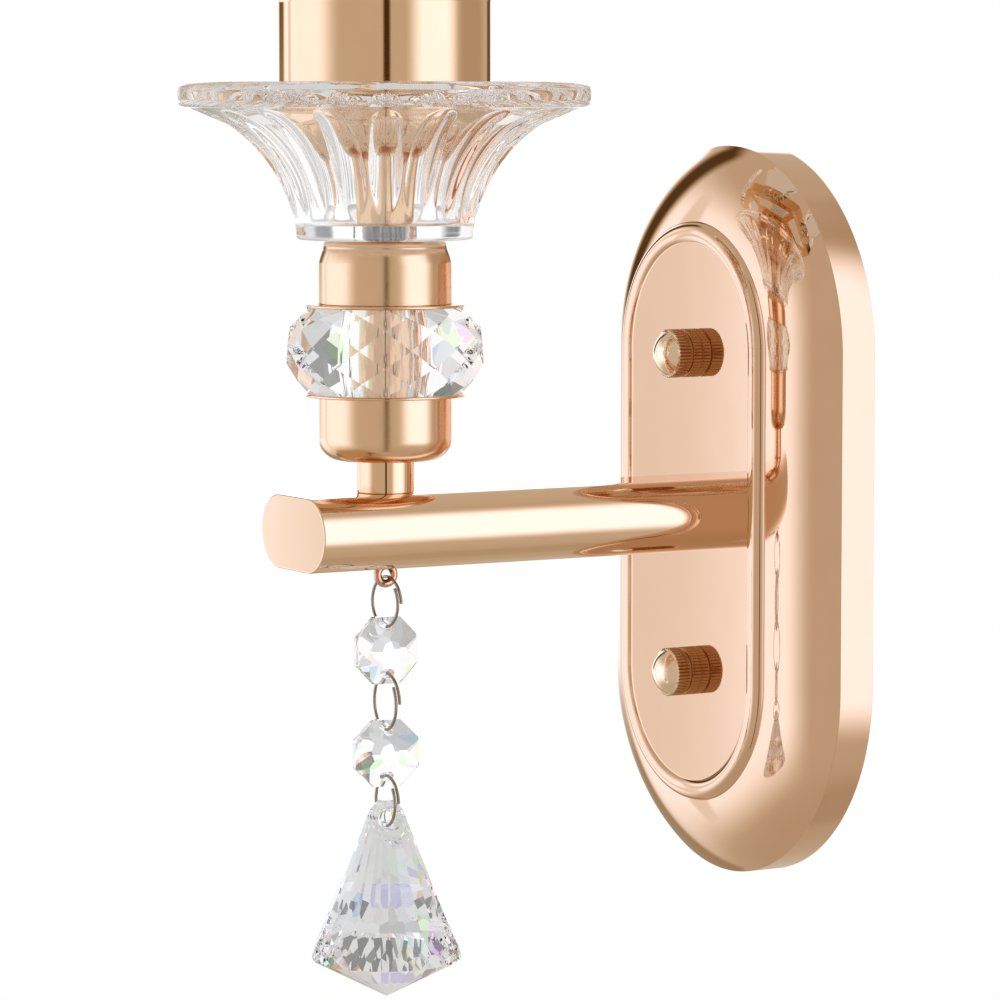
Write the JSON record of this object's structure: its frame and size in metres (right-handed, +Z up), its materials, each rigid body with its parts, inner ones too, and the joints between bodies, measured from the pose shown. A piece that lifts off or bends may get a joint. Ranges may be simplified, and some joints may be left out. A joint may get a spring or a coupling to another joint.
{
  "type": "crystal wall sconce",
  "caption": "Gold-plated wall sconce: oval plate, arm, crystal bead and fluted glass dish on a stem, lamp cup with a glass-petal shade, and a string of crystals hanging below.",
  "frame": {"origin": "centre of the mounting bracket's back face, on the wall plane", "axes": "+Y into the wall, room on the -Y side, +Z up, +X to the right seen from the room"},
  "size_m": [0.1212, 0.1611, 0.2778],
  "materials": {
    "plate_gold": "polished rose-gold plating on pressed steel",
    "arm_gold": "polished rose-gold plating",
    "head_gold": "polished champagne-gold plating",
    "cup_gold": "satin champagne-gold plating",
    "nut_gold": "plated brass, knurled barrel and polished dome",
    "eye_gold": "rose-gold plating",
    "frame_gold": "polished gold plating",
    "bracket_steel": "zinc-plated steel",
    "thread_steel": "zinc-plated threaded steel",
    "wire_steel": "nickel-plated wire",
    "terminal_plastic": "white terminal block",
    "holder_plastic": "white thermoplastic lampholder",
    "candle_plastic": "white candle sleeve",
    "contact_brass": "bare brass",
    "bead_crystal": "clear cut crystal",
    "dish_glass": "clear pressed glass, fluted outside",
    "petal_glass": "clear plate glass with greenish edges",
    "drop_crystal": "clear cut crystal"
  },
  "bodies": {
    "fixture": {"wall_plate": "plate_gold", "mounting_bracket": "bracket_steel", "stud_upper": "thread_steel", "stud_lower": "thread_steel", "stud_nut_upper": "thread_steel", "stud_nut_lower": "thread_steel", "arm_tube": "arm_gold", "arm_end_cap": "arm_gold", "arm_root_plug": "bracket_steel", "arm_nipple": "thread_steel", "arm_washer": "thread_steel", "arm_nut": "thread_steel", "terminal_block": "terminal_plastic", "centre_rod": "thread_steel", "rod_nut": "thread_steel", "stem": "head_gold", "lower_cup": "cup_gold", "lower_washer": "cup_gold", "upper_washer": "cup_gold", "upper_cup": "cup_gold", "crystal_sleeve": "head_gold", "crystal_bead": "bead_crystal", "glass_dish": "dish_glass", "neck_tube": "head_gold", "lamp_cup": "head_gold", "lampholder_body": "holder_plastic", "lampholder_shell": "contact_brass", "lampholder_contact": "contact_brass", "candle_sleeve": "candle_plastic", "shade_frame": "frame_gold", "pendant_eye": "eye_gold", "petal_1": "petal_glass", "petal_screw_1": "frame_gold", "petal_2": "petal_glass", "petal_screw_2": "frame_gold", "petal_3": "petal_glass", "petal_screw_3": "frame_gold", "petal_4": "petal_glass", "petal_screw_4": "frame_gold", "petal_5": "petal_glass", "petal_screw_5": "frame_gold", "petal_6": "petal_glass", "petal_screw_6": "frame_gold"},
    "ring_1": {"ring_1": "wire_steel"},
    "octagon_1": {"octagon_1": "drop_crystal"},
    "ring_2": {"ring_2": "wire_steel"},
    "octagon_2": {"octagon_2": "drop_crystal"},
    "ring_3": {"ring_3": "wire_steel"},
    "prism": {"prism": "drop_crystal"},
    "cap_nut_upper": {"cap_nut_upper": "nut_gold"},
    "cap_nut_lower": {"cap_nut_lower": "nut_gold"}
  },
  "joints": [
    {"name": "ring_1_swing", "type": "hinge", "parent": "fixture", "child": "ring_1", "pos_m": [0, -0.098, -0.0106], "axis": [0.9976, 0.0698, 0], "range_deg": [-35, 25]},
    {"name": "octagon_1_swing", "type": "hinge", "parent": "ring_1", "child": "octagon_1", "pos_m": [0, -0.098, -0.0216], "axis": [1, 0, 0], "range_deg": [-10, 6]},
    {"name": "ring_2_swing", "type": "hinge", "parent": "octagon_1", "child": "ring_2", "pos_m": [0, -0.098, -0.032], "axis": [0.9976, -0.0698, 0], "range_deg": [-10, 6]},
    {"name": "octagon_2_swing", "type": "hinge", "parent": "ring_2", "child": "octagon_2", "pos_m": [0, -0.098, -0.0444], "axis": [0.9877, -0.1564, 0], "range_deg": [-10, 6]},
    {"name": "ring_3_swing", "type": "hinge", "parent": "octagon_2", "child": "ring_3", "pos_m": [0, -0.098, -0.0548], "axis": [0.9976, -0.0698, 0], "range_deg": [-10, 6]},
    {"name": "prism_swing", "type": "hinge", "parent": "ring_3", "child": "prism", "pos_m": [0, -0.098, -0.0658], "axis": [0.9976, -0.0698, 0], "range_deg": [-10, 6]},
    {"name": "cap_nut_upper_turn", "type": "hinge", "parent": "fixture", "child": "cap_nut_upper", "pos_m": [0, -0.0192, 0.0364], "axis": [0, -1, 0], "continuous": true},
    {"name": "cap_nut_lower_turn", "type": "hinge", "parent": "fixture", "child": "cap_nut_lower", "pos_m": [0, -0.0192, -0.0364], "axis": [0, -1, 0], "continuous": true}
  ]
}
